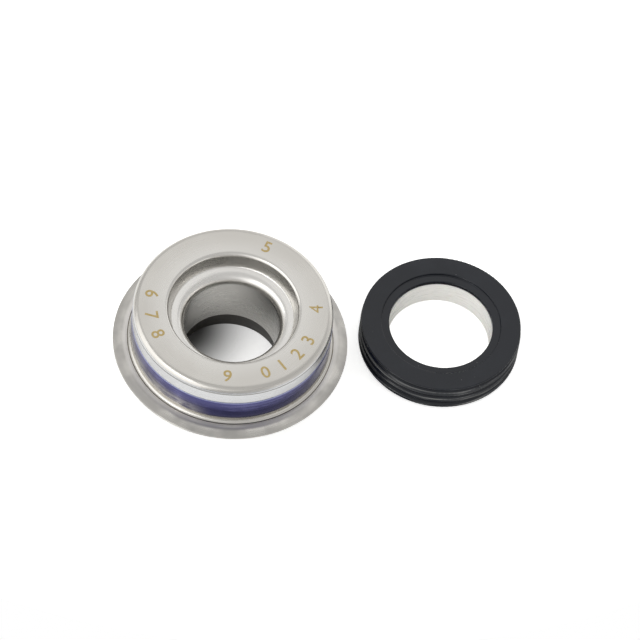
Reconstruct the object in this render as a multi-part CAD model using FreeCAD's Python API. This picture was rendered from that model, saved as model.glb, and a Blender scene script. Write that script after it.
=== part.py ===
"""Mechanical face seal of a small water pump: the sprung seal head and its mating ring.

The head's pressed case goes into the pump housing up to its flange. A carbon ring, held in a rubber bellows
and pushed by one coil spring, stands out of the case's mouth and runs against the ceramic mating ring. The
mating ring sits in a ribbed rubber cup and lies beside the head, with its sealing face down.

Millimetres. +Z is the head's axis and points out of the case's closed end. The origin is on that axis, in the
plane of the flange's seating face. The radii grow from the sleeve's bore outwards, wall by wall and gap by
gap, and end at the 28 mm housing bore.
"""

import FreeCAD, Part
import math
import os

# Case: one deep-drawn shell of stainless sheet
sleeve_bore = 13.4
case_sheet = 0.5
lip_width = 1.9
recess_flare = 0.6
recess_depth = 2.4
case_height = 7.5
sleeve_reach = 4.0
flange_width = 2.55
flange_level = 1.5
flange_droop = 0.45
flange_crown = 3.5
flange_bend = 0.5
flange_roll = 0.12
shoulder_bend = 1.15
recess_bend = 0.7
recess_foot_bend = 0.25
lip_droop = 0.4
lip_bend = 1.6
edge_break = 0.08

# Sealant on the case's wall
sealant_film = 0.05
band_start = 0.8
band_width = 3.9

# Carbon ring: it slides over the case's sleeve
guide_gap = 0.3
carbon_wall = 2.3
carbon_height = 5.0
nose_wall = 1.5
nose_height = 1.3
nose_chamfer = 0.15
face_reach = 7.6

# Coil spring with closed and ground ends: it stands between the recess's wall and the clamp ring
spring_wire = 1.3
spring_turns = 3.25
closed_turns = 0.75
spring_grind = 0.3
spring_inner_gap = 0.1
spring_outer_gap = 1.0
points_per_turn = 16

# Bellows: collar on the carbon ring, one rolling fold, and a lining on the case's wall
collar_wall = 0.8
collar_back = 1.0
collar_back_overlap = 1.8
collar_end_gap = 0.2
collar_grip = 1.6
fold_width = 1.4
fold_wall = 0.7
fold_bend = 0.9
lining_wall = 1.0
lining_height = 4.0
bead_drop = 0.3
bead_width = 0.55
bead_slope = 0.35
bead_rise = 0.35
rubber_round = 0.25

# Pressed rings that hold the rubber and the spring
clamp_sheet = 0.4
clamp_start = 0.6
band_sheet = 0.35
drive_band_height = 1.4
drive_lip = 0.65
retainer_sheet = 0.4
retainer_hub = 1.0
retainer_lip = 0.1
ring_bend = 0.5

# Mating ring: its face covers the carbon's nose on both sides
face_inner_cover = 0.2
face_outer_cover = 0.9
ceramic_height = 4.0
ceramic_chamfer = 0.15

# Rubber cup of the mating ring, with grip ribs between its grooves
ceramic_stand = 0.6
cup_back = 1.0
cup_bore_gap = 0.1
ledge_width = 1.15
ledge_drop = 0.35
skirt_wall = 1.6
back_land_inset = 0.1
cup_grooves = 3
groove_depth = 0.5
groove_pitch = 1.5
groove_first = 0.55
groove_floor = 0.12
groove_flank = 0.3
rib_round = 0.25
cup_edge = 0.12

# Where the mating ring lies beside the head
seat_gap = 2.65
seat_bearing = 17.5

# Radii that follow, from the sleeve outwards
sleeve_inside = sleeve_bore / 2
sleeve_outside = sleeve_inside + case_sheet
recess_foot = sleeve_inside + lip_width
recess_mouth = recess_foot + recess_flare
spring_inside = recess_mouth + case_sheet + spring_inner_gap
spring_radius = spring_inside + spring_wire / 2
spring_outside = spring_inside + spring_wire
clamp_inside = spring_outside + spring_outer_gap
lining_inside = clamp_inside + clamp_sheet
wall_inside = lining_inside + lining_wall
case_radius = wall_inside + case_sheet
press_radius = case_radius + sealant_film
flange_radius = case_radius + flange_width
carbon_inside = sleeve_outside + guide_gap
nose_radius = carbon_inside + nose_wall
carbon_radius = carbon_inside + carbon_wall
collar_radius = carbon_radius + collar_wall
fold_radius = collar_radius + fold_width
ceramic_inside = carbon_inside - face_inner_cover
ceramic_radius = nose_radius + face_outer_cover
cup_inside = ceramic_inside + cup_bore_gap
ledge_radius = cup_inside + ledge_width
rib_radius = ceramic_radius + skirt_wall

# Heights that follow
ceiling = case_height - case_sheet
recess_level = case_height - recess_depth
face_level = -face_reach
nose_level = face_level + nose_height
carbon_back = face_level + carbon_height
collar_top = carbon_back + collar_back
collar_end = nose_level + collar_end_gap
fold_level = collar_end + collar_grip
spring_seat = collar_top + retainer_sheet

# The mating ring's own axis
seat_distance = flange_radius + seat_gap + rib_radius
seat_x = seat_distance * math.cos(math.radians(seat_bearing))
seat_y = seat_distance * math.sin(math.radians(seat_bearing))

AXIS = FreeCAD.Vector(0, 0, 1)


def spot(radius, height):
    """A point of a section, in the plane through the axis."""
    return FreeCAD.Vector(radius, 0, height)


def rounded_face(corners):
    """The face inside a closed outline. Each corner is (radius, height, corner rounding)."""
    ends = []
    edges = []
    for i, (radius, height, rounding) in enumerate(corners):
        here = spot(radius, height)
        back = (spot(*corners[i - 1][:2]) - here).normalize()
        on = (spot(*corners[(i + 1) % len(corners)][:2]) - here).normalize()
        if rounding <= 0:
            ends.append((here, here))
            continue
        half = back.getAngle(on) / 2
        reach = rounding / math.tan(half)
        start = here + back * reach
        stop = here + on * reach
        inward = (back + on).normalize()
        middle = here + inward * (rounding / math.sin(half) - rounding)
        edges.append(Part.Arc(start, middle, stop).toShape())
        ends.append((start, stop))
    for (_, leave), (arrive, _) in zip(ends, ends[1:] + ends[:1]):
        if leave.distanceToPoint(arrive) > 1e-6:
            edges.append(Part.LineSegment(leave, arrive).toShape())
    return Part.Face(Part.Wire(Part.__sortEdges__(edges)))


def turned(corners):
    """A ring: the outline swept once round the axis."""
    return rounded_face(corners).revolve(FreeCAD.Vector(0, 0, 0), AXIS, 360)


def beside_the_head(ring):
    """Sets a ring down on the mating ring's own axis."""
    ring.translate(FreeCAD.Vector(seat_x, seat_y, 0))
    return ring


def sheet_corners(skin, sheet):
    """The closed outline of a bent sheet.

    skin is one face of the metal as (radius, height, bend), walked with the metal on its left. The other face
    runs one sheet thickness away, so each bend is tighter or wider there by that thickness.
    """
    points = [FreeCAD.Vector(radius, height, 0) for radius, height, _ in skin]
    runs = [(b - a).normalize() for a, b in zip(points, points[1:])]
    far_side = []
    for i, (point, (_, _, bend)) in enumerate(zip(points, skin)):
        before = runs[max(i - 1, 0)]
        after = runs[min(i, len(runs) - 1)]
        left_before = FreeCAD.Vector(-before.y, before.x, 0)
        left_after = FreeCAD.Vector(-after.y, after.x, 0)
        mitre = (left_before + left_after) / (1 + left_before.dot(left_after))
        turn = before.cross(after).z
        other_bend = bend - sheet * math.copysign(1, turn) if abs(turn) > 1e-6 else edge_break
        far = point + mitre * sheet
        far_side.append((far.x, far.y, max(other_bend, 0)))
    near_side = [(radius, height, bend or edge_break) for radius, height, bend in skin]
    return near_side + far_side[::-1]


def case():
    """The drawn shell: the flange curls down from a level ring, and the lip falls away to the sleeve."""
    skin = [
        (flange_radius, -flange_droop, flange_roll),
        (case_radius + flange_level, 0, flange_crown),
        (case_radius, 0, flange_bend),
        (case_radius, case_height, shoulder_bend),
        (recess_mouth, case_height, recess_bend),
        (recess_foot, recess_level, recess_foot_bend),
        (sleeve_inside, recess_level - lip_droop, lip_bend),
        (sleeve_inside, -sleeve_reach, 0),
    ]
    return turned(sheet_corners(skin, case_sheet))


def sealant_band():
    top = band_start + band_width
    return turned([
        (case_radius, band_start, 0),
        (press_radius, band_start, 0),
        (press_radius, top, 0),
        (case_radius, top, 0),
    ])


def carbon_ring():
    return turned([
        (carbon_inside + nose_chamfer, face_level, 0),
        (nose_radius - nose_chamfer, face_level, 0),
        (nose_radius, face_level + nose_chamfer, 0),
        (nose_radius, nose_level, nose_chamfer),
        (carbon_radius, nose_level, nose_chamfer),
        (carbon_radius, carbon_back, nose_chamfer),
        (carbon_inside, carbon_back, nose_chamfer),
        (carbon_inside, face_level + nose_chamfer, 0),
    ])


def bellows():
    back_edge = carbon_radius - collar_back_overlap
    return turned([
        (carbon_radius, collar_end, 0),
        (collar_radius, collar_end, rubber_round),
        (collar_radius, fold_level, rubber_round),
        (fold_radius, fold_level, fold_bend),
        (wall_inside - bead_width, -bead_drop - bead_slope, rubber_round),
        (wall_inside, -bead_drop, rubber_round / 2),
        (wall_inside, lining_height, 0),
        (lining_inside, lining_height, rubber_round),
        (lining_inside, bead_rise, rubber_round),
        (fold_radius - fold_wall, fold_level + fold_wall, fold_bend - fold_wall),
        (collar_radius, fold_level + fold_wall, rubber_round),
        (collar_radius, collar_top, rubber_round),
        (back_edge, collar_top, rubber_round / 2),
        (back_edge, carbon_back, rubber_round / 2),
        (carbon_radius, carbon_back, nose_chamfer),
    ])


def clamp_ring():
    top = lining_height + clamp_sheet
    skin = [
        (wall_inside, top, 0),
        (clamp_inside, top, ring_bend),
        (clamp_inside, clamp_start, 0),
    ]
    return turned(sheet_corners(skin, clamp_sheet))


def drive_band():
    outside = collar_radius + band_sheet
    low = collar_end - band_sheet
    skin = [
        (collar_radius - drive_lip, low, 0),
        (outside, low, ring_bend),
        (outside, low + drive_band_height, 0),
    ]
    return turned(sheet_corners(skin, band_sheet))


def spring_retainer():
    hub = spring_inside - spring_inner_gap - retainer_sheet
    skin = [
        (hub, spring_seat + retainer_hub, 0),
        (hub, collar_top, ring_bend),
        (spring_outside + retainer_lip, collar_top, 0),
    ]
    return turned(sheet_corners(skin, retainer_sheet))


def coil_spring():
    """Round wire on a helix whose end turns lie close, with both ends ground flat to the seats."""
    low = spring_seat + spring_wire / 2 - spring_grind
    high = ceiling - spring_wire / 2 + spring_grind
    closed_rise = closed_turns * spring_wire
    open_turns = spring_turns - 2 * closed_turns
    open_pitch = (high - low - 2 * closed_rise) / open_turns
    course = []
    for step in range(round(spring_turns * points_per_turn) + 1):
        turn = step / points_per_turn
        in_open = min(max(turn - closed_turns, 0), open_turns)
        height = low + (turn - in_open) * spring_wire + in_open * open_pitch
        around = FreeCAD.Vector(math.cos(2 * math.pi * turn), math.sin(2 * math.pi * turn), 0)
        course.append(around * spring_radius + AXIS * height)
    line = Part.BSplineCurve()
    line.interpolate(course)
    start_tangent = line.tangent(line.FirstParameter)[0]
    section = Part.Wire([Part.Circle(course[0], start_tangent, spring_wire / 2).toShape()])
    sweep = Part.BRepOffsetAPI.MakePipeShell(Part.Wire([line.toShape()]))
    sweep.setBiNormalMode(AXIS)
    sweep.add(section)
    sweep.build()
    sweep.makeSolid()
    seats = FreeCAD.Vector(0, 0, spring_seat)
    between_seats = Part.makeCylinder(2 * spring_radius, ceiling - spring_seat, seats)
    return sweep.shape().common(between_seats)


def mating_ring():
    low = face_level
    high = face_level + ceramic_height
    return beside_the_head(turned([
        (ceramic_inside + ceramic_chamfer, low, 0),
        (ceramic_radius - ceramic_chamfer, low, 0),
        (ceramic_radius, low + ceramic_chamfer, 0),
        (ceramic_radius, high, 0),
        (ceramic_inside, high, 0),
        (ceramic_inside, low + ceramic_chamfer, 0),
    ]))


def mating_ring_cup():
    """Rubber cup: a stepped back, and a skirt whose grooves leave grip ribs round the outside."""
    groove_radius = rib_radius - groove_depth
    land_radius = rib_radius - back_land_inset
    skirt_end = face_level + ceramic_stand
    back_inside = face_level + ceramic_height
    back_outside = back_inside + cup_back
    ledge_level = back_outside - ledge_drop
    corners = [
        (ceramic_radius, skirt_end, 0),
        (rib_radius, skirt_end, cup_edge),
    ]
    for groove in reversed(range(cup_grooves)):
        middle = back_outside - groove_first - groove * groove_pitch
        mouth = groove_floor / 2 + groove_flank
        corners.append((rib_radius, middle - mouth, rib_round))
        corners.append((groove_radius, middle - groove_floor / 2, 0))
        corners.append((groove_radius, middle + groove_floor / 2, 0))
        if groove > 0:
            corners.append((rib_radius, middle + mouth, rib_round))
    corners += [
        (land_radius, back_outside - groove_first + groove_floor / 2 + groove_flank, 0),
        (land_radius, back_outside, cup_edge),
        (ledge_radius, back_outside, cup_edge),
        (ledge_radius, ledge_level, cup_edge),
        (cup_inside, ledge_level, cup_edge),
        (cup_inside, back_inside, 0),
        (ceramic_radius, back_inside, 0),
    ]
    return beside_the_head(turned(corners))


NODES = {
    "case": case,
    "sealant_band": sealant_band,
    "bellows": bellows,
    "bellows_clamp_ring": clamp_ring,
    "coil_spring": coil_spring,
    "spring_retainer": spring_retainer,
    "drive_band": drive_band,
    "carbon_ring": carbon_ring,
    "mating_ring": mating_ring,
    "mating_ring_cup": mating_ring_cup,
}


def main():
    os.makedirs("parts", exist_ok=True)
    for name, build in NODES.items():
        shape = build()
        if not shape.isValid() or shape.Volume <= 0:
            raise ValueError(f"{name} is not a sound solid")
        shape.exportStep(f"parts/{name}.step")
        box = shape.BoundBox
        print(f"{name}: {len(shape.Solids)} solid, {shape.Volume:.1f} mm3, "
              f"x {box.XMin:.2f} to {box.XMax:.2f}, z {box.ZMin:.2f} to {box.ZMax:.2f}")


main()
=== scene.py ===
"""Looks of a small pump's mechanical seal: the sprung seal head and its mating ring beside it.

Everything is in metres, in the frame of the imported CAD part. The head's axis is +Z through the origin.
"""

import math

import bpy
from mathutils import Matrix, Vector, noise


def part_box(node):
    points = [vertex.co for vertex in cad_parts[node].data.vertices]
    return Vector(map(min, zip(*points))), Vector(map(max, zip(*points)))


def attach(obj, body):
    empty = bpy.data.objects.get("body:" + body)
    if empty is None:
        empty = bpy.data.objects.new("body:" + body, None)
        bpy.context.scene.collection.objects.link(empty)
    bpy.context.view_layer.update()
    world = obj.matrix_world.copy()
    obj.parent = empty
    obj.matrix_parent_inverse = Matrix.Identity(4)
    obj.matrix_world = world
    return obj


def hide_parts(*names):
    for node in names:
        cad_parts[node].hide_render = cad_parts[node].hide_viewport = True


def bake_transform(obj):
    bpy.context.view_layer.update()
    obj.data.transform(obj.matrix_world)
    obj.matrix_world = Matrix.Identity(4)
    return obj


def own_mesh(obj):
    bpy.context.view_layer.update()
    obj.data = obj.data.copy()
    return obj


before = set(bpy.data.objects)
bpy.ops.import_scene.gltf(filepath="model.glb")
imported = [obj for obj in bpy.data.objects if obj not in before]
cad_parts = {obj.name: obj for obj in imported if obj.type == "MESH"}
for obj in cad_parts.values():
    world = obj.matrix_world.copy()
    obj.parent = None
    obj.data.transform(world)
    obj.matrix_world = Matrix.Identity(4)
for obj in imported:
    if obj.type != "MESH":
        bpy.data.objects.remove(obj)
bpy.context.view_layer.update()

bl_info = {
    "name": "Mechanical seal",
    "version": (1, 0, 0),
    "blender": (4, 5, 0),
    "location": "3D View > Sidebar > Seal",
    "description": "Finishes the pieces of a mechanical seal and sets the stage round it",
    "category": "Add Mesh",
}

MM = 0.001

# Places that the CAD part gives
END_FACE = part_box("case")[1].z
FILM_LOW, FILM_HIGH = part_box("sealant_band")
CARBON_LOW, CARBON_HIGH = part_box("carbon_ring")
BELLOWS_LOW, BELLOWS_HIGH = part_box("bellows")
SPRING_LOW, SPRING_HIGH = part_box("coil_spring")
CUP_LOW, CUP_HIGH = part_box("mating_ring_cup")
FILM_RADIUS = FILM_HIGH.x
FLOOR_LEVEL = CARBON_LOW.z
RING_CENTRE = (CUP_LOW + CUP_HIGH) / 2
CUP_RADIUS = CUP_HIGH.x - RING_CENTRE.x
HEAD_AXIS = Vector((0, 0, 0))

# Radii and levels between which the case's surface changes from one look to the next
RECESS = (8.5 * MM, 9.3 * MM)
RECESS_MOUTH = (9 * MM, 12.5 * MM)
SHOULDER = (13.4 * MM, 13.7 * MM)
WALL = (FILM_RADIUS - 0.25 * MM, FILM_RADIUS - 0.1 * MM)
FLANGE = (FILM_RADIUS + 0.4 * MM, FILM_RADIUS + 0.9 * MM)
WALL_FOOT = (0.1 * MM, 0.3 * MM)
ABOVE_FILM = (FILM_HIGH.z - 0.2 * MM, FILM_HIGH.z + 0.1 * MM)

# Levels between which the lacquer's look changes
PALE_PATCH_LEVELS = (FILM_LOW.z + 0.3 * MM, FILM_HIGH.z - 1.2 * MM)
SHADED_LOWER_PART = (FILM_LOW.z + 1.9 * MM, FILM_LOW.z + 2.5 * MM)
FADING_PART = (FILM_HIGH.z - 0.45 * MM, FILM_HIGH.z - 0.1 * MM)

# Mesh steps in one turn
FILM_STEPS = 360
RUBBER_STEPS = 192
TABLE_STEPS = 96
WIRE_STEPS = 20


def linear(hex_colour):
    """An sRGB hex colour as the linear colour that shaders take."""
    channels = [int(hex_colour[i:i + 2], 16) / 255 for i in (1, 3, 5)]
    return tuple(c / 12.92 if c <= 0.04045 else ((c + 0.055) / 1.055) ** 2.4 for c in channels) + (1.0,)


def colour(name, description, hex_colour):
    """A colour that a user may change."""
    return bpy.props.FloatVectorProperty(
        name=name, description=description, size=4, subtype="COLOR", min=0, max=1,
        default=linear(hex_colour))


def length(name, description, millimetres):
    """A length that a user may change."""
    return bpy.props.FloatProperty(
        name=name, description=description, unit="LENGTH", subtype="DISTANCE", min=0, precision=6,
        default=millimetres * MM)


def share(name, description, value):
    """A share or brightness from 0 to 1."""
    return bpy.props.FloatProperty(
        name=name, description=description, subtype="FACTOR", min=0, max=1, default=value)


def bearing(name, description, degrees):
    """A direction round the head that a user may change."""
    return bpy.props.FloatProperty(
        name=name, description=description, unit="ROTATION", subtype="ANGLE", default=math.radians(degrees))


def plain(name, description, value):
    """A number with no unit that a user may change."""
    return bpy.props.FloatProperty(name=name, description=description, min=0, default=value)


def toward(azimuth, elevation):
    """The direction of length 1 that azimuth and elevation in degrees give."""
    a, e = math.radians(azimuth), math.radians(elevation)
    return Vector((math.cos(a) * math.cos(e), math.sin(a) * math.cos(e), math.sin(e)))


class SealMetal(bpy.types.PropertyGroup):
    stainless: colour("Stainless", "Drawn stainless sheet of the case", "#d2cfc9")
    # brighter sheet towards the recess's mouth, and painted bounce light inside the recess and the sleeve
    untouched: colour("Untouched", "The same sheet where tumbling has not dulled it", "#e6e4e0")
    handled: colour("Handled", "The same sheet where the flange was handled and stacked", "#a5a3a0")
    clouded: colour("Clouded", "The same sheet in its wide faint clouds", "#c3bfb8")
    wiped: colour("Wiped", "The wall above the lacquer, wiped with solvent", "#dde0e6")
    # painted highlight: the pale strip of flange outside the crease
    drawn_over: colour("Drawn over", "The sheet outside the crease, where it slid over the die", "#e6e3de")
    # dark brown line painted in the crease at the wall's foot
    soap: colour("Crease line", "Lacquer and drawing soap that dried in the crease", "#4d4536")
    # painted dark reflection on the shoulder's lower bend
    die_mark: colour("Die mark", "The line that the die's edge has left", "#6d6a64")
    pressed: colour("Pressed rings", "Stainless of the small pressed rings", "#bdbab5")
    pressed_marks: colour("Press marks", "The same stainless in its turning marks", "#a7a39c")
    wire: colour("Spring wire", "Drawn spring wire", "#b4b1ac")
    wire_soap: colour("Wire soap", "Trace of drawing soap on the wire", "#8f8b84")
    satin: share("Satin", "Roughness of the drawn sheet", 0.27)
    grain: length("Grain", "Spacing of the fine turning and drawing marks", 0.16)
    pitting: length("Pitting", "Size of the dents that the tumbling media leave", 0.09)
    smudge: length("Smudge", "Size of the dull patches on the flange", 4.0)
    crease: length("Crease", "How far outside the sealant the fine crease at the wall's foot lies", 0.41)
    crease_width: length("Crease width", "Half width of the dark line in the crease", 0.07)
    # level and half width of the painted dark reflection on the shoulder's bend
    die_line: length("Die line", "How far below the end face the die's edge has left its line", 0.96)
    die_line_width: length("Die line width", "Half width of that line", 0.1)


class SealFilm(bpy.types.PropertyGroup):
    lacquer: colour("Lacquer", "Blue-violet sealing lacquer over the metal", "#403f76")
    thin: colour("Thin lacquer", "The same lacquer where it is brushed thin", "#5d5d90")
    # painted shade: the darker lower half of the lacquer
    thick: colour("Thick lacquer", "The same lacquer where it has sagged and dried thick", "#25245a")
    edge: colour("Lacquer edge", "The same lacquer where it fades out at its upper edge", "#a9aecb")
    # pale grey painted in streaks low on one side of the lacquer
    rubbed: colour("Rubbed lacquer", "Where handling has rubbed it down to the metal", "#b3b1b0")
    rubbed_side: bearing("Rubbed side", "On which side of the head it is rubbed", 222.0)
    pool: length("Pool", "Size of the pools that the lacquer dried in", 2.5)
    # how far the edge of the painted shade strays
    sag: length("Sag", "How far the thick lacquer's lower edge strays", 0.5)
    wander: length("Edge wander", "How far the film's edges stray from straight", 0.06)
    depth: length("Film", "Thickness of the dried film", 0.05)


class SealRubber(bpy.types.PropertyGroup):
    cup: colour("Cup rubber", "Moulded nitrile rubber of the mating ring's cup", "#0b1019")
    bellows: colour("Bellows rubber", "Moulded nitrile rubber of the bellows", "#1f1f20")
    bloom: colour("Bloom", "Wax that has come out of the rubber in pale clouds", "#1e232b")
    # also painted in patches along the rubber's outer edges as a highlight
    dust: colour("Dust", "Fine dust that clings to rubber", "#8e8e8c")
    orange_peel: length("Moulded grain", "Grain that the mould leaves", 0.12)
    cloud: length("Cloud", "Size of the clouds of bloom", 3.5)
    dust_spacing: length("Dust spacing", "About how far apart the specks of dust lie", 0.9)


class SealFaces(bpy.types.PropertyGroup):
    carbon: colour("Carbon", "Resin-bonded carbon graphite", "#35322e")
    carbon_resin: colour("Carbon resin", "The same graphite where more of its resin shows", "#47443f")
    alumina: colour("Alumina", "Sintered white alumina", "#fbfaf6")
    alumina_mottle: colour("Alumina mottle", "The same alumina in its sintering mottle", "#f1eee6")
    alumina_grain: length("Alumina grain", "Size of the faint sintering mottle", 0.25)
    carbon_grain: length("Carbon grain", "Grain of the pressed carbon", 0.08)


class SealMarks(bpy.types.PropertyGroup):
    oxide: colour("Mark", "Gold-brown oxide that the laser leaves on stainless", "#aa935c")
    thin_oxide: colour("Thin mark", "The same oxide where the laser burnt less", "#c2ae7e")
    burn: length("Burn", "Size of the uneven spots in the oxide", 0.25)
    height: length("Digit height", "Height of the plain digits", 1.9)
    radius: length("Digit radius", "Radius of the circle that the digits stand on", 11.5)
    depth: length("Oxide", "Thickness that the mark is drawn with", 0.004)
    boldness: share("Boldness", "Widens the digits' strokes, as a share of the writing's size", 0.012)


class SealBellows(bpy.types.PropertyGroup):
    collar_wall: length("Collar wall", "Rubber round the carbon ring", 0.8)
    collar_back: length("Collar back", "Rubber behind the carbon ring", 1.0)
    back_overlap: length("Back overlap", "How far the rubber covers the carbon ring's back", 1.8)
    collar_grip: length("Collar grip", "Height of collar under the fold", 1.6)
    fold_width: length("Fold width", "Reach of the rolling fold", 1.4)
    fold_wall: length("Fold wall", "Thickness of the rolling fold", 0.7)
    fold_bend: length("Fold bend", "Outer bend of the rolling fold", 0.9)
    lining_wall: length("Lining wall", "Rubber on the case's wall", 1.0)
    bead_drop: length("Bead drop", "How far the bead hangs below the flange", 0.3)
    bead_width: length("Bead width", "Width of the bead's slope", 0.55)
    bead_slope: length("Bead slope", "Height of the bead's slope", 0.35)
    edge: length("Edge", "Rounding of the moulded edges", 0.25)


class SealSpring(bpy.types.PropertyGroup):
    wire: length("Wire", "Diameter of the spring wire", 1.3)
    grind: length("Grind", "How much the ends are ground off", 0.3)
    turns: plain("Turns", "All turns of the coil", 3.25)
    closed: plain("Closed turns", "Turns that lie close at each end", 0.75)
    stations: bpy.props.IntProperty(name="Steps", description="Mesh steps in one turn", default=64, min=8)


class SealStage(bpy.types.PropertyGroup):
    floor: colour("Table", "White table under the parts", "#f4f4f2")
    # colour of the painted shade on the table
    shade: colour("Deep shade", "The table where the sleeve keeps the light off it", "#5c5c5b")
    table_radius: length("Table radius", "Radius of the white table", 125.0)
    table_front: length("Table front", "How far the table reaches in front of the head", 45.0)
    table_gap: length("Table gap", "How far the table lies below the parts' lowest faces", 0.01)
    backlight: share("Backlight", "How much the white table glows of itself", 0.6)
    room: share("Room", "Brightness of the room overhead, as shiny surfaces show it", 0.64)
    dim_horizon: share("Dim horizon", "Brightness of the room's horizon on its dim side", 0.52)
    bright_horizon: share("Bright horizon", "Brightness of the room's horizon on its bright side", 0.8)
    bright_side: bearing("Bright side", "Where the room's bright side is", 40.0)
    room_on_matt: share("Room on matt", "Brightness of the room, as it lights matt surfaces", 0.8)


GROUPS = {
    "seal_metal": SealMetal,
    "seal_film": SealFilm,
    "seal_rubber": SealRubber,
    "seal_faces": SealFaces,
    "seal_marks": SealMarks,
    "seal_bellows": SealBellows,
    "seal_spring": SealSpring,
    "seal_stage": SealStage,
}


# Nodes that every finish is made of

# Settings that many nodes share
TIMES = {"operation": "MULTIPLY"}
PLUS = {"operation": "ADD"}
SMOOTH = {"interpolation_type": "SMOOTHSTEP"}
COLOURS = {"data_type": "RGBA"}


def fill(tree, node, inputs):
    """Puts numbers, colours and other nodes' outputs into a node's sockets.

    A list goes into the sockets that are open, in their order, and a dict gives each socket's name.
    """
    if not isinstance(inputs, dict):
        opened = [i for i, socket in enumerate(node.inputs) if socket.enabled]
        inputs = dict(zip(opened, inputs))
    for key, value in inputs.items():
        if isinstance(value, bpy.types.NodeSocket):
            tree.links.new(value, node.inputs[key])
        else:
            node.inputs[key].default_value = value


def add(tree, kind, inputs=(), out=None, **settings):
    """Adds a shader node with its settings and inputs. Gives its first open output, or the one named out."""
    node = tree.nodes.new("ShaderNode" + kind)
    for name, value in settings.items():
        setattr(node, name, value)
    fill(tree, node, inputs)
    if out:
        return node.outputs[out]
    return next((socket for socket in node.outputs if socket.enabled), None)


def new_finish(name):
    """An empty material: (material, its tree, its Principled shader)."""
    material = bpy.data.materials.new(name)
    material.use_nodes = True
    tree = material.node_tree
    return material, tree, tree.nodes["Principled BSDF"]


def round_place(tree, centre):
    """Where a point lies round an upright axis: outputs for the direction, the radius and the height."""
    place = add(tree, "TexCoord", out="Object")
    from_axis = add(tree, "VectorMath", [place, tuple(centre)], operation="SUBTRACT")
    flat = add(tree, "VectorMath", [from_axis, (1, 1, 0)], **TIMES)
    direction = add(tree, "VectorMath", [flat], operation="NORMALIZE")
    radius = add(tree, "VectorMath", [flat], operation="LENGTH")
    height = add(tree, "SeparateXYZ", [place], out="Z")
    return direction, radius, height


def distance_from(tree, centre):
    """How far a point lies from an upright axis."""
    _, radius, _ = round_place(tree, centre)
    return radius


def marks_along(tree, place, around, out, up, detail=2.0):
    """Noise stretched into marks round an axis; place is what round_place gives.

    around is in cells per radian, and out and up are in cells per metre. Few cells make long marks.
    """
    direction, radius, height = place
    turned = add(tree, "VectorMath", [direction, around], operation="SCALE")
    outward = add(tree, "Math", [radius, out], **TIMES)
    upward = add(tree, "Math", [height, up], **TIMES)
    across = add(tree, "CombineXYZ", [outward, 0.0, upward])
    spot = add(tree, "VectorMath", [turned, across], **PLUS)
    return add(tree, "TexNoise", [spot, 1.0, detail])


def patches(tree, size, detail=4.0, roughness=0.6):
    """Soft cloudy noise whose patches are size metres across."""
    place = add(tree, "TexCoord", out="Object")
    return add(tree, "TexNoise", [place, 1 / size, detail, roughness])


def layered(tree, base, layers):
    """The base colour under its layers of (cover from 0 to 1, colour), the lowest first."""
    for cover, tint in layers:
        base = add(tree, "Mix", [cover, base, tint], **COLOURS)
    return base


def blended(tree, *parts):
    """The sum of parts of (pattern, weight)."""
    total = None
    for pattern, weight in reversed(parts):
        part = pattern if weight == 1 else add(tree, "Math", [pattern, weight], **TIMES)
        total = part if total is None else add(tree, "Math", [part, total], **PLUS)
    return total


# Finishes

# A pixel of the render is 0.14 mm wide. The real marks of turning, drawing, moulding and lapping lie 0.01 to
# 0.05 mm apart, too fine to show, so they are drawn 0.08 to 0.4 mm apart, as coarse as they need to show

def bright_parts(tree, radius, height):
    """How much brighter the sheet is painted at the recess's mouth, inside the recess and on the wiped wall.
    """
    # the sheet is painted brighter towards the recess's mouth, and brighter still inside the recess and the
    # sleeve, where it is painted bounce light
    mouth = add(tree, "MapRange", [radius, *RECESS_MOUTH, 0.45, 0.0], **SMOOTH)
    inside = add(tree, "MapRange", [radius, *RECESS, 0.9, 0.0], **SMOOTH)
    # the wall above the lacquer was wiped with solvent, which left it bluer and brighter
    on_wall = add(tree, "MapRange", [radius, *WALL], **SMOOTH)
    over_film = add(tree, "MapRange", [height, *ABOVE_FILM, 0.0, 0.6], **SMOOTH)
    wiped = add(tree, "Math", [on_wall, over_film], **TIMES)
    return mouth, inside, wiped


def die_marks(tree, look, radius, height):
    """The painted highlight past the crease, the dark brown line painted in the crease and the painted dark
    reflection on the wall.
    """
    # outside the crease the metal is painted paler, a painted highlight for the bright strip there, and is
    # made more matt
    crease = FILM_RADIUS + look.crease
    past_crease = add(tree, "MapRange", [radius, crease, crease + 0.15 * MM], **SMOOTH)
    near_crease = add(tree, "MapRange", [radius, crease + 0.4 * MM, crease + 0.9 * MM, 1.0, 0.0], **SMOOTH)
    drawn_over = add(tree, "Math", [past_crease, near_crease], **TIMES)
    # a fine dark brown line is painted in the crease at the wall's foot
    at_crease = add(tree, "Math", [radius, crease, look.crease_width], operation="COMPARE")
    at_foot = add(tree, "MapRange", [height, *WALL_FOOT, 0.85, 0.0], **SMOOTH)
    creased = add(tree, "Math", [at_crease, at_foot], **TIMES)
    # a fine dark line is painted where the shoulder's bend runs into the wall: a painted reflection of the
    # dark horizon that the bend's lower edge shows
    line_level = END_FACE - look.die_line
    on_line = add(tree, "Math", [height, line_level, look.die_line_width], operation="COMPARE")
    on_shoulder = add(tree, "MapRange", [radius, *SHOULDER, 0.0, 0.7], **SMOOTH)
    painted_dark_line = add(tree, "Math", [on_line, on_shoulder], **TIMES)
    return drawn_over, creased, painted_dark_line


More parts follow.
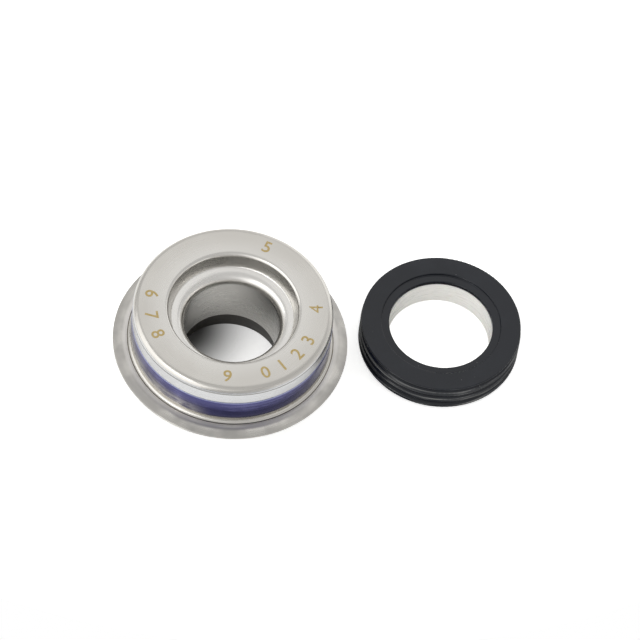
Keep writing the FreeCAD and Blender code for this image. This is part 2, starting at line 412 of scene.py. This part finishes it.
def drawn_stainless():
    """Stainless sheet, deep drawn and tumbled: satin, with faint rings on faces and draw marks on walls."""
    look = bpy.context.scene.seal_metal
    material, tree, shader = new_finish("drawn_stainless_satin")
    place = round_place(tree, HEAD_AXIS)
    _, radius, height = place
    per_grain = 1 / look.grain
    rings = marks_along(tree, place, around=3.0, out=per_grain, up=per_grain)
    draws = marks_along(tree, place, around=90.0, out=per_grain / 12, up=per_grain / 40)
    pitting = patches(tree, look.pitting, detail=2.0)
    cloud = patches(tree, 2 * look.smudge, detail=2.0, roughness=0.45)
    stain = patches(tree, look.smudge, detail=3.0, roughness=0.5)
    # the flange was handled and stacked, so it is duller and greyer than the end face
    on_flange = add(tree, "MapRange", [radius, *FLANGE], **SMOOTH)
    stained = add(tree, "MapRange", [stain, 0.35, 0.65, 0.1, 0.75], **SMOOTH)
    dull = add(tree, "Math", [on_flange, stained], **TIMES)
    clouded = add(tree, "MapRange", [cloud, 0.35, 0.7, 0.0, 0.3], **SMOOTH)
    mouth, inside, wiped = bright_parts(tree, radius, height)
    drawn_over, creased, painted_dark_line = die_marks(tree, look, radius, height)
    # the brighter sheet inside the recess and the sleeve, the pale strip past the crease and the dark line
    # on the shoulder are painted light and shade
    tone = layered(tree, look.stainless, [
        (dull, look.handled),
        (clouded, look.clouded),
        (mouth, look.untouched),
        (wiped, look.wiped),
        (inside, look.untouched),
        (drawn_over, look.drawn_over),
        (creased, look.soap),
        (painted_dark_line, look.die_mark),
    ])
    turned = add(tree, "MapRange", [rings, 0.2, 0.8, look.satin - 0.05, look.satin + 0.06], **SMOOTH)
    uneven = add(tree, "MapRange", [cloud, 0.3, 0.7, -0.03, 0.05], **SMOOTH)
    grain = blended(tree, (rings, 0.5), (draws, 0.3), (pitting, 0.15))
    fill(tree, shader, {
        "Base Color": tone,
        "Metallic": 1.0,
        "Anisotropic": 0.35,
        "Roughness": blended(tree, (turned, 1.0), (uneven, 1.0), (dull, 0.12), (drawn_over, 0.2)),
        "Normal": add(tree, "Bump", {"Height": grain, "Strength": 1.0, "Distance": 0.0018 * MM}),
    })
    return material


def sealing_lacquer():
    """Sealing lacquer brushed on metal: a thin tinted film that lets the sheet's shine through."""
    look = bpy.context.scene.seal_film
    material, tree, shader = new_finish("sealing_lacquer_on_steel")
    place = round_place(tree, HEAD_AXIS)
    direction, _, height = place
    strokes = marks_along(tree, place, around=2.0, out=0.0, up=2.6 / MM, detail=3.0)
    pools = patches(tree, look.pool)
    brushed = blended(tree, (strokes, 1.0), (pools, 0.6))
    thin = add(tree, "MapRange", [brushed, 0.78, 1.02], **SMOOTH)
    # its lower half is painted darker: a painted shade for the darker reflection that the wall's lower half
    # shows, with a wandering edge
    level = blended(tree, (height, 1.0), (strokes, look.sag))
    thick = add(tree, "MapRange", [level, *SHADED_LOWER_PART, 0.85, 0.0], **SMOOTH)
    # the lacquer is painted pale grey, like bare metal, in streaks on the lower part of the front left
    side = toward(math.degrees(look.rubbed_side), 0)
    facing = add(tree, "VectorMath", [direction, side], operation="DOT_PRODUCT")
    on_side = add(tree, "MapRange", [facing, 0.72, 0.95], **SMOOTH)
    low = add(tree, "MapRange", [height, *PALE_PATCH_LEVELS, 1.0, 0.0], **SMOOTH)
    low_on_side = add(tree, "Math", [on_side, low], **TIMES)
    streaks = add(tree, "MapRange", [blended(tree, (pools, 1.0), (strokes, 1.0)), 0.7, 1.1], **SMOOTH)
    rubbed = add(tree, "Math", [low_on_side, streaks], **TIMES)
    faded = add(tree, "MapRange", [height, *FADING_PART, 0.0, 0.8], **SMOOTH)
    tone = layered(tree, look.lacquer, [
        (thin, look.thin),
        (thick, look.thick),
        (rubbed, look.rubbed),
        (faded, look.edge),
    ])
    fill(tree, shader, {
        "Base Color": tone,
        "Metallic": 0.85,
        "Roughness": add(tree, "MapRange", [strokes, 0.2, 0.8, 0.18, 0.3], **SMOOTH),
        "Coat Weight": 0.25,
        "Coat Roughness": 0.12,
        "Normal": add(tree, "Bump", {"Height": strokes, "Strength": 1.0, "Distance": 0.004 * MM}),
    })
    return material


def pressed_stainless():
    """Small stainless pressings, barrel polished: brighter and smoother than the case."""
    look = bpy.context.scene.seal_metal
    material, tree, shader = new_finish("pressed_stainless_polished")
    rings = marks_along(tree, round_place(tree, HEAD_AXIS), around=2.0, out=5 / MM, up=5 / MM)
    fill(tree, shader, {
        "Base Color": layered(tree, look.pressed, [(rings, look.pressed_marks)]),
        "Metallic": 1.0,
        "Roughness": add(tree, "MapRange", [rings, 0.2, 0.8, 0.2, 0.32], **SMOOTH),
        "Normal": add(tree, "Bump", {"Height": rings, "Strength": 1.0, "Distance": 0.003 * MM}),
    })
    return material


def drawn_wire():
    """Hard-drawn spring wire: fine die lines along the wire and a trace of drawing soap."""
    look = bpy.context.scene.seal_metal
    material, tree, shader = new_finish("drawn_spring_wire")
    lines = marks_along(tree, round_place(tree, HEAD_AXIS), around=4.0, out=9 / MM, up=9 / MM)
    soaped = add(tree, "MapRange", [patches(tree, 1.2 * MM), 0.4, 0.7], **SMOOTH)
    fill(tree, shader, {
        "Base Color": layered(tree, look.wire, [(soaped, look.wire_soap)]),
        "Metallic": 1.0,
        "Roughness": add(tree, "MapRange", [lines, 0.2, 0.8, 0.24, 0.42], **SMOOTH),
        "Normal": add(tree, "Bump", {"Height": lines, "Strength": 1.0, "Distance": 0.004 * MM}),
    })
    return material


def moulded_nitrile(name, base, centre, reach):
    """Compression-moulded nitrile rubber: black and satin, with clinging dust and a painted highlight on its
    outer edges. reach is its outer radius.
    """
    look = bpy.context.scene.seal_rubber
    material, tree, shader = new_finish(name)
    place = round_place(tree, centre)
    _, radius, _ = place
    peel = patches(tree, look.orange_peel, detail=3.0)
    flow = marks_along(tree, place, around=2.0, out=3 / MM, up=3 / MM)
    cloud = patches(tree, look.cloud)
    bloomed = add(tree, "MapRange", [cloud, 0.45, 0.75, 0.0, 0.35], **SMOOTH)
    # few cells hold a speck of dust
    spot = add(tree, "TexCoord", out="Object")
    cells = add(tree, "TexVoronoi", {"Vector": spot, "Scale": 1 / look.dust_spacing, "Randomness": 1.0})
    speck = add(tree, "MapRange", [cells, 0.05, 0.09, 1.0, 0.0], **SMOOTH)
    rare = add(tree, "MapRange", [cells.node.outputs["Color"], 0.72, 0.8], **SMOOTH)
    dusty = blended(tree, (add(tree, "Math", [speck, rare], **TIMES), 0.55))
    # the outer edges are painted grey in patches: a painted highlight along them
    rim = add(tree, "MapRange", [radius, reach - 0.16 * MM, reach - 0.04 * MM], **SMOOTH)
    rubbed = add(tree, "MapRange", [flow, 0.45, 0.7, 0.0, 0.5], **SMOOTH)
    painted_edge_highlight = add(tree, "Math", [rim, rubbed], **TIMES)
    uneven = add(tree, "MapRange", [cloud, 0.3, 0.7, 0.1, 0.16], **SMOOTH)
    grain = blended(tree, (peel, 0.6), (flow, 0.4))
    fill(tree, shader, {
        "Base Color": layered(tree, base, [(bloomed, look.bloom), (dusty, look.dust), (painted_edge_highlight, look.dust)]),
        "Roughness": blended(tree, (uneven, 1.0), (flow, 0.05)),
        "IOR": 1.48,
        "Normal": add(tree, "Bump", {"Height": grain, "Strength": 1.0, "Distance": 0.003 * MM}),
    })
    return material


def carbon_graphite():
    """Resin-bonded carbon graphite, pressed and lapped: near black, with a grey sheen and fine grain."""
    look = bpy.context.scene.seal_faces
    material, tree, shader = new_finish("lapped_carbon_graphite")
    grain = patches(tree, look.carbon_grain, detail=3.0)
    lapped = marks_along(tree, round_place(tree, HEAD_AXIS), around=2.0, out=6 / MM, up=6 / MM)
    resin = add(tree, "MapRange", [grain, 0.4, 0.7], **SMOOTH)
    rough = blended(tree, (grain, 0.5), (lapped, 0.5))
    fill(tree, shader, {
        "Base Color": layered(tree, look.carbon, [(resin, look.carbon_resin)]),
        "Roughness": add(tree, "MapRange", [lapped, 0.2, 0.8, 0.34, 0.48], **SMOOTH),
        "IOR": 1.8,
        "Normal": add(tree, "Bump", {"Height": rough, "Strength": 1.0, "Distance": 0.004 * MM}),
    })
    return material


def sintered_alumina():
    """Dense sintered alumina, ground on its edges and lapped on its face: warm white with a low gloss."""
    look = bpy.context.scene.seal_faces
    material, tree, shader = new_finish("ground_alumina")
    ground = marks_along(tree, round_place(tree, RING_CENTRE), around=3.0, out=7 / MM, up=7 / MM)
    mottled = add(tree, "MapRange", [patches(tree, look.alumina_grain), 0.35, 0.75, 0.0, 0.35], **SMOOTH)
    fill(tree, shader, {
        "Base Color": layered(tree, look.alumina, [(mottled, look.alumina_mottle)]),
        "Roughness": add(tree, "MapRange", [ground, 0.2, 0.8, 0.22, 0.36], **SMOOTH),
        "IOR": 1.76,
        "Subsurface Weight": 0.05,
        "Subsurface Scale": 0.5 * MM,
        "Normal": add(tree, "Bump", {"Height": ground, "Strength": 1.0, "Distance": 0.0008 * MM}),
    })
    return material


def laser_oxide():
    """Oxide colours that a marking laser leaves on stainless: gold-brown, matt beside the satin sheet."""
    look = bpy.context.scene.seal_marks
    material, tree, shader = new_finish("laser_oxide_on_stainless")
    burn = patches(tree, look.burn)
    thin = add(tree, "MapRange", [burn, 0.3, 0.75], **SMOOTH)
    fill(tree, shader, {
        "Base Color": layered(tree, look.oxide, [(thin, look.thin_oxide)]),
        "Metallic": 0.5,
        "Roughness": add(tree, "MapRange", [burn, 0.3, 0.7, 0.4, 0.55], **SMOOTH),
    })
    return material


def dress(node_name, finish):
    """Gives a CAD node its finish."""
    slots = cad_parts[node_name].data.materials
    slots.clear()
    slots.append(finish)


# Mesh work

def mesh_piece(name, vertices, faces, finish):
    """A smooth piece from its points and faces, with its finish."""
    mesh = bpy.data.meshes.new(name)
    mesh.from_pydata(vertices, [], faces)
    mesh.validate()
    mesh.shade_smooth()
    mesh.materials.append(finish)
    piece = bpy.data.objects.new(name, mesh)
    bpy.context.collection.objects.link(piece)
    return piece


def lathe(name, section, steps, finish, stray=None):
    """Turns a closed section of (radius, height) points round the head's axis.

    stray(radius, height, angle) may return a small (outward, upward) shift, so that an edge isn't perfect.
    """
    count = len(section)
    vertices = []
    for step in range(steps):
        angle = 2 * math.pi * step / steps
        for radius, height in section:
            outward, upward = stray(radius, height, angle) if stray else (0, 0)
            r = radius + outward
            vertices.append((r * math.cos(angle), r * math.sin(angle), height + upward))
    faces = []
    for step in range(steps):
        here, there = step * count, (step + 1) % steps * count
        for i in range(count):
            j = (i + 1) % count
            faces.append((here + i, there + i, there + j, here + j))
    return mesh_piece(name, vertices, faces, finish)


def rounded(corners, arc_points=6):
    """A closed section from corners of (radius, height, rounding), each bend as a run of points."""
    section = []
    for i, (radius, height, rounding) in enumerate(corners):
        here = Vector((radius, height))
        back = (Vector(corners[i - 1][:2]) - here).normalized()
        on = (Vector(corners[(i + 1) % len(corners)][:2]) - here).normalized()
        if rounding <= 0:
            section.append(tuple(here))
            continue
        half = back.angle(on) / 2
        centre = here + (back + on).normalized() * (rounding / math.sin(half))
        start = here + back * (rounding / math.tan(half)) - centre
        sweep = back.angle_signed(on)
        sweep = -math.copysign(math.pi - abs(sweep), sweep)
        for k in range(arc_points + 1):
            turn = Matrix.Rotation(-sweep * k / arc_points, 2)
            section.append(tuple(centre + turn @ start))
    return section


def subdivided(section, longest):
    """The same section with its straight runs cut up, so that it can bend smoothly."""
    points = []
    for i, here in enumerate(section):
        there = section[(i + 1) % len(section)]
        cuts = max(1, math.ceil((Vector(there) - Vector(here)).length / longest))
        points += [tuple(Vector(here).lerp(Vector(there), k / cuts)) for k in range(cuts)]
    return points


class SEAL_OT_case(bpy.types.Operator):
    """Finishes the deep-drawn stainless case"""
    bl_idname = "seal.case"
    bl_label = "Case"

    def execute(self, context):
        dress("case", drawn_stainless())
        return {"FINISHED"}


class SEAL_OT_sealant(bpy.types.Operator):
    """Brushes the film of sealing lacquer on the case's wall"""
    bl_idname = "seal.sealant"
    bl_label = "Sealant film"

    def execute(self, context):
        look = context.scene.seal_film
        wall = FILM_RADIUS - look.depth
        # the film thins out to nothing over this height at each edge
        feather = 2 * look.wander
        section = subdivided([
            (wall, FILM_LOW.z + look.wander),
            (FILM_RADIUS, FILM_LOW.z + look.wander + feather),
            (FILM_RADIUS, FILM_HIGH.z - look.wander - feather),
            (wall, FILM_HIGH.z - look.wander),
        ], longest=0.6 * MM)
        middle = (FILM_LOW.z + FILM_HIGH.z) / 2

        def stray(radius, height, angle):
            # each edge takes its waves from its own level of the noise, round a circle of 2.2 cells
            level = 3.0 if height > middle else -3.0
            place = Vector((2.2 * math.cos(angle), 2.2 * math.sin(angle), level))
            reach = (height - middle) / (FILM_HIGH.z - middle)
            return 0, look.wander * noise.noise(place) * abs(reach)

        piece = lathe("sealant_film", section, FILM_STEPS, sealing_lacquer(), stray)
        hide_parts("sealant_band")
        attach(piece, "seal_case")
        return {"FINISHED"}


def bellows_sections(form):
    """The bellows cut in two: the skirt's section, the collar's section and the level of the fold."""
    carbon = CARBON_HIGH.x
    collar = carbon + form.collar_wall
    fold = collar + form.fold_width
    wall = BELLOWS_HIGH.x
    lining = wall - form.lining_wall
    fold_level = BELLOWS_LOW.z + form.collar_grip
    collar_top = CARBON_HIGH.z + form.collar_back
    back_edge = carbon - form.back_overlap
    soft = form.edge
    skirt = rounded([
        (collar, fold_level, 0),
        (fold, fold_level, form.fold_bend),
        (wall - form.bead_width, -form.bead_drop - form.bead_slope, soft),
        (wall, -form.bead_drop, soft / 2),
        (wall, BELLOWS_HIGH.z, 0),
        (lining, BELLOWS_HIGH.z, soft),
        (lining, form.bead_slope, soft),
        (fold - form.fold_wall, fold_level + form.fold_wall, form.fold_bend - form.fold_wall),
        (collar, fold_level + form.fold_wall, 0),
    ])
    held = rounded([
        (carbon, BELLOWS_LOW.z, 0),
        (collar, BELLOWS_LOW.z, soft),
        (collar, collar_top, soft),
        (back_edge, collar_top, soft / 2),
        (back_edge, CARBON_HIGH.z, soft / 2),
        (carbon, CARBON_HIGH.z, 0),
    ])
    return subdivided(skirt, longest=0.3 * MM), subdivided(held, longest=0.4 * MM), fold_level


class SEAL_OT_bellows(bpy.types.Operator):
    """Moulds the rubber bellows: its collar slides with the carbon ring"""
    bl_idname = "seal.bellows"
    bl_label = "Bellows"

    def execute(self, context):
        look = context.scene.seal_rubber
        form = context.scene.seal_bellows
        rubber = moulded_nitrile("moulded_nitrile_bellows", look.bellows, HEAD_AXIS, BELLOWS_HIGH.x)
        skirt_section, collar_section, fold_level = bellows_sections(form)
        skirt = lathe("bellows_skirt", skirt_section, RUBBER_STEPS, rubber)
        held = lathe("bellows_collar", collar_section, RUBBER_STEPS, rubber)
        for piece in (skirt, held):
            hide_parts("bellows")
        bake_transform(skirt)
        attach(held, "sliding_face")
        return {"FINISHED"}


def wound_wire(form):
    """The points and faces of a coil with closed ends, cut flat where the ends are ground."""
    half = form.wire / 2
    coil_radius = SPRING_HIGH.x - half
    low = SPRING_LOW.z + half - form.grind
    high = SPRING_HIGH.z - half + form.grind
    open_turns = form.turns - 2 * form.closed
    pitch = (high - low - 2 * form.closed * form.wire) / open_turns
    stations = round(form.turns * form.stations)
    vertices = []
    for i in range(stations + 1):
        turn = form.turns * i / stations
        opened = min(max(turn - form.closed, 0), open_turns)
        height = low + (turn - opened) * form.wire + opened * pitch
        angle = 2 * math.pi * turn
        outward = Vector((math.cos(angle), math.sin(angle), 0))
        for k in range(WIRE_STEPS):
            section = 2 * math.pi * k / WIRE_STEPS
            point = outward * (coil_radius + half * math.cos(section))
            level = height + half * math.sin(section)
            vertices.append((point.x, point.y, min(max(level, SPRING_LOW.z), SPRING_HIGH.z)))
    last = stations * WIRE_STEPS
    faces = [tuple(range(WIRE_STEPS))[::-1], tuple(range(last, last + WIRE_STEPS))]
    for i in range(stations):
        for k in range(WIRE_STEPS):
            a, b = i * WIRE_STEPS + k, i * WIRE_STEPS + (k + 1) % WIRE_STEPS
            faces.append((a, a + WIRE_STEPS, b + WIRE_STEPS, b))
    return vertices, faces


class SEAL_OT_spring(bpy.types.Operator):
    """Winds the coil spring, with closed ends that are ground flat"""
    bl_idname = "seal.spring"
    bl_label = "Coil spring"

    def execute(self, context):
        vertices, faces = wound_wire(context.scene.seal_spring)
        piece = mesh_piece("spring_coil", vertices, faces, drawn_wire())
        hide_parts("coil_spring")
        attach(piece, "seal_case")
        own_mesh(piece)
        return {"FINISHED"}


class SEAL_OT_pressed_rings(bpy.types.Operator):
    """Finishes the clamp ring, the spring's retainer and the drive band"""
    bl_idname = "seal.pressed_rings"
    bl_label = "Pressed rings"

    def execute(self, context):
        finish = pressed_stainless()
        for node_name in ("bellows_clamp_ring", "spring_retainer", "drive_band"):
            dress(node_name, finish)
        return {"FINISHED"}


class SEAL_OT_carbon(bpy.types.Operator):
    """Finishes the carbon ring"""
    bl_idname = "seal.carbon"
    bl_label = "Carbon ring"

    def execute(self, context):
        dress("carbon_ring", carbon_graphite())
        return {"FINISHED"}


class SEAL_OT_mating_ring(bpy.types.Operator):
    """Finishes the alumina ring and its ribbed rubber cup"""
    bl_idname = "seal.mating_ring"
    bl_label = "Mating ring and cup"

    def execute(self, context):
        dress("mating_ring", sintered_alumina())
        dress("mating_ring_cup",
              moulded_nitrile("moulded_nitrile_cup", context.scene.seal_rubber.cup, RING_CENTRE, CUP_RADIUS))
        return {"FINISHED"}


def plain_digit(digit, look):
    """One digit, flat and centred on the origin: its points and faces."""
    text = bpy.data.curves.new("digit", "FONT")
    text.body = str(digit)
    text.align_x = "CENTER"
    text.align_y = "CENTER"
    # the 4 has a small triangle inside, which bolder strokes would close
    text.offset = 0 if digit == 4 else look.boldness
    writing = bpy.data.objects.new("digit", text)
    bpy.context.collection.objects.link(writing)
    bpy.context.view_layer.update()
    flat = writing.to_mesh()
    levels = [v.co.y for v in flat.vertices]
    middle = (max(levels) + min(levels)) / 2
    scale = look.height / (max(levels) - min(levels))
    points = [Vector((v.co.x, v.co.y - middle, 0)) * scale for v in flat.vertices]
    faces = [tuple(face.vertices) for face in flat.polygons]
    writing.to_mesh_clear()
    bpy.data.objects.remove(writing)
    bpy.data.curves.remove(text)
    return points, faces


class SEAL_OT_marks(bpy.types.Operator):
    """Puts plain digits on the end face"""
    bl_idname = "seal.marks"
    bl_label = "Digits"

    # places round the end face in degrees, from the digit 0 on
    places = (299.6, 312.7, 327.0, 340.9, 8.1, 72.9, 177.8, 195.7, 211.9, 272.9)

    def execute(self, context):
        look = context.scene.seal_marks
        vertices, faces = [], []
        for digit, place in enumerate(self.places):
            angle = math.radians(place)
            # digits on the far side stand with their tops outward, all others with their tops inward
            outward = math.sin(angle) > 0.5
            turn = Matrix.Rotation(angle + math.radians(-90 if outward else 90), 3, "Z")
            spot = Matrix.Rotation(angle, 3, "Z") @ Vector((look.radius, 0, END_FACE + look.depth))
            points, outlines = plain_digit(digit, look)
            first = len(vertices)
            vertices += [tuple(spot + turn @ point) for point in points]
            faces += [tuple(first + i for i in outline) for outline in outlines]
        piece = mesh_piece("laser_digits", vertices, faces, laser_oxide())
        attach(piece, "seal_case")
        return {"FINISHED"}


# The painted deep shade lies on the table behind the head's left side. Distances between which each tone
# changes:
# from that place, from the head's axis, and twice from the mating ring's
SHADE_CENTRE = Vector((-8, 6, 0)) * MM
DEEP_SHADE = (3 * MM, 13 * MM)
HEAD_SHADE = (13 * MM, 17 * MM)
CUP_SHADE = (12 * MM, 15.5 * MM)
PAST_CUP = (12 * MM, 20 * MM)

# Rays that start nearer to the table than this come from the faces that lie on it
FACE_GAP = 0.03 * MM


def white_table():
    """White painted table: it glows for the camera, and has a painted shade under the head and round the
    cup.
    """
    look = bpy.context.scene.seal_stage
    material, tree, shader = new_finish("white_table")
    tree.nodes.remove(shader)
    ray = add(tree, "LightPath").node.outputs
    # painted shade on the table under the head's sleeve, deepest at its back left
    from_shade = add(tree, "MapRange", [distance_from(tree, SHADE_CENTRE), *DEEP_SHADE], **SMOOTH)
    from_axis = add(tree, "MapRange", [distance_from(tree, HEAD_AXIS), *HEAD_SHADE], **SMOOTH)
    lit = add(tree, "Math", [from_shade, from_axis], operation="MAXIMUM")
    # shiny surfaces see a painted shade on the table near the rubber cup, where the cup would take the light
    # off it
    from_ring = distance_from(tree, RING_CENTRE)
    near_ring = add(tree, "MapRange", [from_ring, *CUP_SHADE, 0.9, 0.0], **SMOOTH)
    mirrored_shade = add(tree, "Math", [near_ring, ray["Is Glossy Ray"]], **TIMES)
    tone = layered(tree, look.shade, [(lit, look.floor), (mirrored_shade, look.shade)])
    paint = add(tree, "BsdfDiffuse", [tone])
    # the camera sees the whole glow, and shiny surfaces a part of it away from the ring
    direct = add(tree, "Math", [ray["Is Camera Ray"], ray["Is Transmission Ray"]], operation="MAXIMUM")
    past_cup = add(tree, "MapRange", [from_ring, *PAST_CUP, 0.0, 0.3], **SMOOTH)
    mirrored = add(tree, "Math", [ray["Is Glossy Ray"], past_cup], **TIMES)
    seen = add(tree, "Math", [direct, mirrored], **PLUS)
    glowing = blended(tree, (lit, look.backlight))
    strength = add(tree, "Math", [seen, glowing], **TIMES)
    glow = add(tree, "Emission", [linear("#ffffff"), strength])
    # the table is only there from above: from below it is clear, and it keeps no light off faces on it
    from_below = add(tree, "NewGeometry", out="Backfacing")
    from_face = add(tree, "Math", [ray["Ray Length"], FACE_GAP], operation="LESS_THAN")
    unseen = add(tree, "Math", [from_below, from_face], operation="MAXIMUM")
    table = add(tree, "AddShader", [paint, glow])
    top_only = add(tree, "MixShader", [unseen, table, add(tree, "BsdfTransparent")])
    fill(tree, tree.nodes["Material Output"], {"Surface": top_only})
    return material


def studio_world():
    """Soft grey room: brighter on its window side, dimmer on the other. The camera sees plain white."""
    look = bpy.context.scene.seal_stage
    world = bpy.data.worlds.new("soft_studio")
    bpy.context.scene.world = world
    world.use_nodes = True
    tree = world.node_tree
    tree.nodes.clear()
    ray = add(tree, "LightPath").node.outputs
    place = add(tree, "TexCoord", out="Generated")
    side = toward(math.degrees(look.bright_side), 0)
    facing = add(tree, "VectorMath", [place, side], operation="DOT_PRODUCT")
    horizon = add(tree, "MapRange", [facing, -0.6, 0.8, look.dim_horizon, look.bright_horizon], **SMOOTH)
    above = add(tree, "MapRange", [add(tree, "SeparateXYZ", [place], out="Z"), 0.1, 0.6], **SMOOTH)
    span = add(tree, "Mix", [above, horizon, look.room])
    matt = add(tree, "Mix", [ray["Is Diffuse Ray"], span, look.room_on_matt])
    room = add(tree, "Background", [linear("#ffffff"), matt])
    white = add(tree, "Background", [linear("#ffffff"), 1.0])
    shown = add(tree, "MixShader", [ray["Is Camera Ray"], room, white])
    add(tree, "OutputWorld", [shown])


# Soft light panels: azimuth and elevation in degrees, distance, width and height in metres, and brightness
PANELS = {
    "ceiling": (90, 60, 0.60, 0.80, 0.60, 0.30),
    "side": (207, 20, 0.60, 1.20, 0.64, 1.0),
    "key": (222, 40, 0.60, 0.16, 0.14, 3.0),
    "front": (270, 36, 0.60, 0.22, 0.16, 0.35),
    "back": (62, 9, 0.60, 0.52, 0.26, 0.5),
    "right": (322, 5, 0.60, 0.12, 0.10, 1.0),
}


def light_panel(name, azimuth, elevation, distance, width, height, brightness):
    """A flat soft light that faces the head; brightness is what a mirror would show of it."""
    lamp = bpy.data.lights.new(name, "AREA")
    lamp.shape = "RECTANGLE"
    lamp.size = width
    lamp.size_y = height
    lamp.energy = brightness * math.pi * width * height
    panel = bpy.data.objects.new(name, lamp)
    bpy.context.collection.objects.link(panel)
    panel.location = toward(azimuth, elevation) * distance
    panel.rotation_euler = toward(azimuth, elevation).to_track_quat("Z", "Y").to_euler()
    panel.visible_camera = False


# The camera, as fitted to the round edges in the photograph
CAMERA_ELEVATION = 55.195
CAMERA_ROLL = 7.731
CAMERA_DISTANCE = 556.25 * MM
CAMERA_TARGET = Vector((12.132, 0.341, 6.8)) * MM
CAMERA_LENS = 225.0


def photo_camera():
    """A long lens that looks down on the parts as in the photograph."""
    data = bpy.data.cameras.new("photo_camera")
    data.lens = CAMERA_LENS
    data.sensor_width = 36.0
    data.clip_start = 0.01
    data.clip_end = 10.0
    camera = bpy.data.objects.new("photo_camera", data)
    bpy.context.collection.objects.link(camera)
    back = toward(270, CAMERA_ELEVATION)
    level = back.to_track_quat("Z", "Y").to_matrix().to_4x4()
    roll = Matrix.Rotation(math.radians(CAMERA_ROLL), 4, "Z")
    camera.matrix_world = Matrix.Translation(CAMERA_TARGET + back * CAMERA_DISTANCE) @ level @ roll
    bpy.context.scene.camera = camera


class SEAL_OT_stage(bpy.types.Operator):
    """Sets the white table, the soft lights and the camera"""
    bl_idname = "seal.stage"
    bl_label = "Table, lights and camera"

    def execute(self, context):
        form = context.scene.seal_stage
        middle = form.table_radius - form.table_front
        rim = []
        for i in range(TABLE_STEPS):
            angle = 2 * math.pi * i / TABLE_STEPS
            along, back = form.table_radius * math.cos(angle), form.table_radius * math.sin(angle)
            rim.append((along, middle + back, FLOOR_LEVEL - form.table_gap))
        table = mesh_piece("table", rim, [tuple(range(TABLE_STEPS))], white_table())
        studio_world()
        for name, panel in PANELS.items():
            light_panel(name, *panel)
        photo_camera()
        context.scene.view_settings.view_transform = "Standard"
        return {"FINISHED"}


STEPS = (
    SEAL_OT_case,
    SEAL_OT_sealant,
    SEAL_OT_carbon,
    SEAL_OT_bellows,
    SEAL_OT_pressed_rings,
    SEAL_OT_spring,
    SEAL_OT_mating_ring,
    SEAL_OT_marks,
    SEAL_OT_stage,
)


class SEAL_PT_panel(bpy.types.Panel):
    """Lists the steps that finish the seal"""
    bl_idname = "SEAL_PT_panel"
    bl_label = "Mechanical seal"
    bl_space_type = "VIEW_3D"
    bl_region_type = "UI"
    bl_category = "Seal"

    def draw(self, context):
        for step in STEPS:
            self.layout.operator(step.bl_idname)
        for group in GROUPS:
            values = getattr(context.scene, group)
            box = self.layout.box()
            for name in values.bl_rna.properties.keys():
                if name not in ("rna_type", "name"):
                    box.prop(values, name)


def register():
    for group, kind in GROUPS.items():
        bpy.utils.register_class(kind)
        setattr(bpy.types.Scene, group, bpy.props.PointerProperty(type=kind))
    for kind in STEPS + (SEAL_PT_panel,):
        bpy.utils.register_class(kind)


def unregister():
    for kind in reversed(STEPS + (SEAL_PT_panel,)):
        bpy.utils.unregister_class(kind)
    for group, kind in reversed(GROUPS.items()):
        delattr(bpy.types.Scene, group)
        bpy.utils.unregister_class(kind)


def main():
    """Registers the add-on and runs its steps."""
    register()
    for step in STEPS:
        area, name = step.bl_idname.split(".")
        getattr(getattr(bpy.ops, area), name)()


if __name__ == "__main__":
    main()
